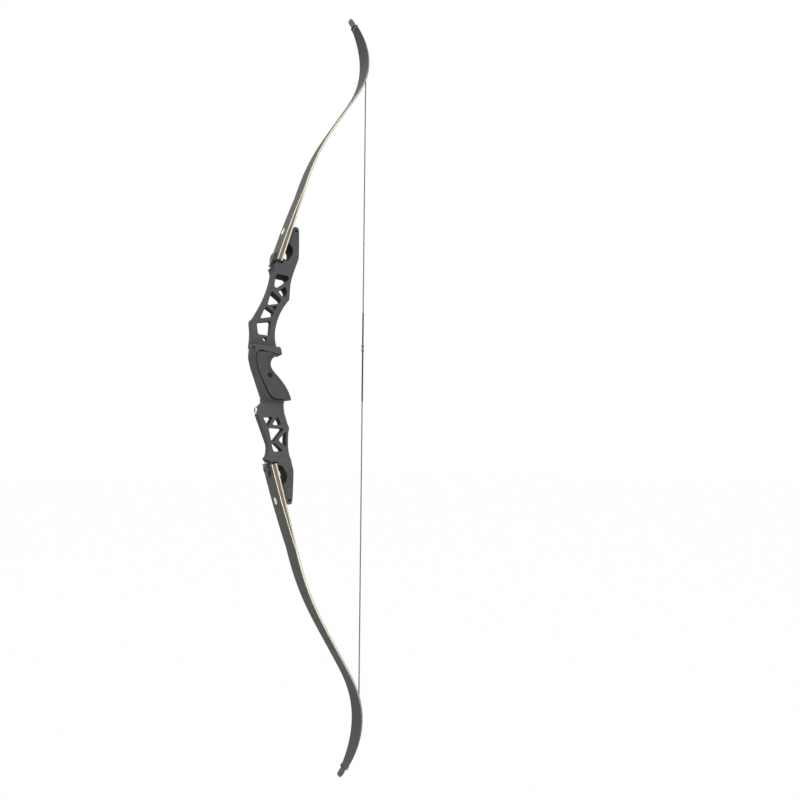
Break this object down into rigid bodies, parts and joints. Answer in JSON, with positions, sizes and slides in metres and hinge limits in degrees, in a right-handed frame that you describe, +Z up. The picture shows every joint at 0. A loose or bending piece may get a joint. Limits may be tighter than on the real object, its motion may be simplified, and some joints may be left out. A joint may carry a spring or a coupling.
{
  "type": "recurve bow",
  "caption": "Strung takedown recurve bow: machined open-frame riser with a moulded grip, laminated limbs on bolts and dovetails, and a served string that draws to full draw.",
  "frame": {"origin": "throat of the grip on the centre plane", "axes": "+X towards the archer and the string, +Z up along the bow, -Y the side of the sight window"},
  "size_m": [0.213, 0.047, 1.3888],
  "materials": {
    "black_alloy": "satin",
    "grip_plastic": "matte",
    "steel": "satin",
    "black_steel": "satin",
    "black_plastic": "matte",
    "brass": "satin",
    "black_glass": "satin",
    "clear_glass": "satin",
    "maple": "satin",
    "dark_wood": "satin",
    "string": "matte",
    "serving": "matte"
  },
  "bodies": {
    "riser": {"riser": "black_alloy", "grip": "grip_plastic", "grip_screws": "black_steel", "stabiliser_bushing": "steel", "plunger_bushing": "black_alloy", "upper_lock_screw": "black_steel", "upper_alignment_pins": "black_steel", "upper_butt_back_glass": "black_glass", "upper_butt_back_core": "maple", "upper_butt_wedge": "dark_wood", "upper_butt_belly_core": "maple", "upper_butt_belly_glass": "clear_glass", "upper_dovetail": "steel", "upper_dovetail_screw": "steel", "upper_detent_spring": "steel", "lower_lock_screw": "black_steel", "lower_alignment_pins": "black_steel", "lower_butt_back_glass": "black_glass", "lower_butt_back_core": "maple", "lower_butt_wedge": "dark_wood", "lower_butt_belly_core": "maple", "lower_butt_belly_glass": "clear_glass", "lower_dovetail": "steel", "lower_dovetail_screw": "steel", "lower_detent_spring": "steel"},
    "upper_limb": {"upper_back_glass": "black_glass", "upper_back_core": "maple", "upper_belly_core": "maple", "upper_belly_glass": "clear_glass", "upper_tip_overlay": "black_glass", "upper_string_loop": "serving"},
    "upper_string": {"upper_string": "string", "upper_centre_serving": "serving"},
    "upper_washer": {"upper_bolt_washer": "black_plastic"},
    "upper_bolt": {"upper_limb_bolt": "black_steel"},
    "upper_detent": {"upper_detent_button": "steel"},
    "lower_limb": {"lower_back_glass": "black_glass", "lower_back_core": "maple", "lower_belly_core": "maple", "lower_belly_glass": "clear_glass", "lower_tip_overlay": "black_glass", "lower_string_loop": "serving"},
    "lower_string": {"lower_string": "string", "lower_centre_serving": "serving"},
    "lower_washer": {"lower_bolt_washer": "black_plastic"},
    "lower_bolt": {"lower_limb_bolt": "black_steel"},
    "lower_detent": {"lower_detent_button": "steel"},
    "nocking_point": {"nocking_serving": "serving", "nock_locators": "brass"}
  },
  "joints": [
    {"name": "upper_limb_flex", "type": "hinge", "parent": "riser", "child": "upper_limb", "pos_m": [0.04971, 0, 0.31731], "axis": [0, 1, 0], "range_deg": [0, 29.55], "stiffness_Nm_per_rad": 158},
    {"name": "lower_limb_flex", "type": "hinge", "parent": "riser", "child": "lower_limb", "pos_m": [0.04971, 0, -0.31731], "axis": [0, -1, 0], "range_deg": [0, 29.55], "stiffness_Nm_per_rad": 158},
    {"name": "upper_string_swing", "type": "hinge", "parent": "upper_limb", "child": "upper_string", "pos_m": [0.16667, 0, 0.65423], "axis": [0, -1, 0], "range_deg": [0, 63.56], "deforming": ["upper_string", "upper_centre_serving"]},
    {"name": "lower_string_swing", "type": "hinge", "parent": "lower_limb", "child": "lower_string", "pos_m": [0.16667, 0, -0.65423], "axis": [0, 1, 0], "range_deg": [0, 58.98], "deforming": ["lower_string", "lower_centre_serving"]},
    {"name": "nocking_point_draw", "type": "slide", "parent": "riser", "child": "nocking_point", "axis": [0.9999, 0, 0.0157], "range_m": [0, 0.492]},
    {"name": "upper_bolt_travel", "type": "slide", "parent": "riser", "child": "upper_washer", "axis": [-0.9636, 0, 0.2672], "range_m": [0, 0.003]},
    {"name": "upper_bolt_turn", "type": "hinge", "parent": "upper_washer", "child": "upper_bolt", "pos_m": [0.0109, 0, 0.1776], "axis": [-0.9636, 0, 0.2672], "range_deg": [0, 1021]},
    {"name": "upper_detent_press", "type": "slide", "parent": "riser", "child": "upper_detent", "axis": [-0.9636, 0, 0.2672], "range_m": [0, 0.0018], "stiffness_N_per_m": 800, "springref_m": -0.001, "deforming": ["upper_detent_spring"]},
    {"name": "lower_bolt_travel", "type": "slide", "parent": "riser", "child": "lower_washer", "axis": [-0.9636, 0, -0.2672], "range_m": [0, 0.003]},
    {"name": "lower_bolt_turn", "type": "hinge", "parent": "lower_washer", "child": "lower_bolt", "pos_m": [0.0109, 0, -0.1776], "axis": [-0.9636, 0, -0.2672], "range_deg": [0, 1021]},
    {"name": "lower_detent_press", "type": "slide", "parent": "riser", "child": "lower_detent", "axis": [-0.9636, 0, -0.2672], "range_m": [0, 0.0018], "stiffness_N_per_m": 800, "springref_m": -0.001, "deforming": ["lower_detent_spring"]}
  ],
  "couplings": [
    {"joint": "lower_limb_flex", "follows": "upper_limb_flex", "ratio": 1},
    {"joint": "upper_string_swing", "follows": "upper_limb_flex", "ratio": 2.15},
    {"joint": "lower_string_swing", "follows": "upper_limb_flex", "ratio": 1.9951},
    {"joint": "nocking_point_draw", "follows": "upper_limb_flex", "m_per_rad": 0.95352},
    {"joint": "upper_bolt_turn", "follows": "upper_bolt_travel", "rad_per_m": 5936.9},
    {"joint": "lower_bolt_turn", "follows": "lower_bolt_travel", "rad_per_m": 5936.9}
  ]
}
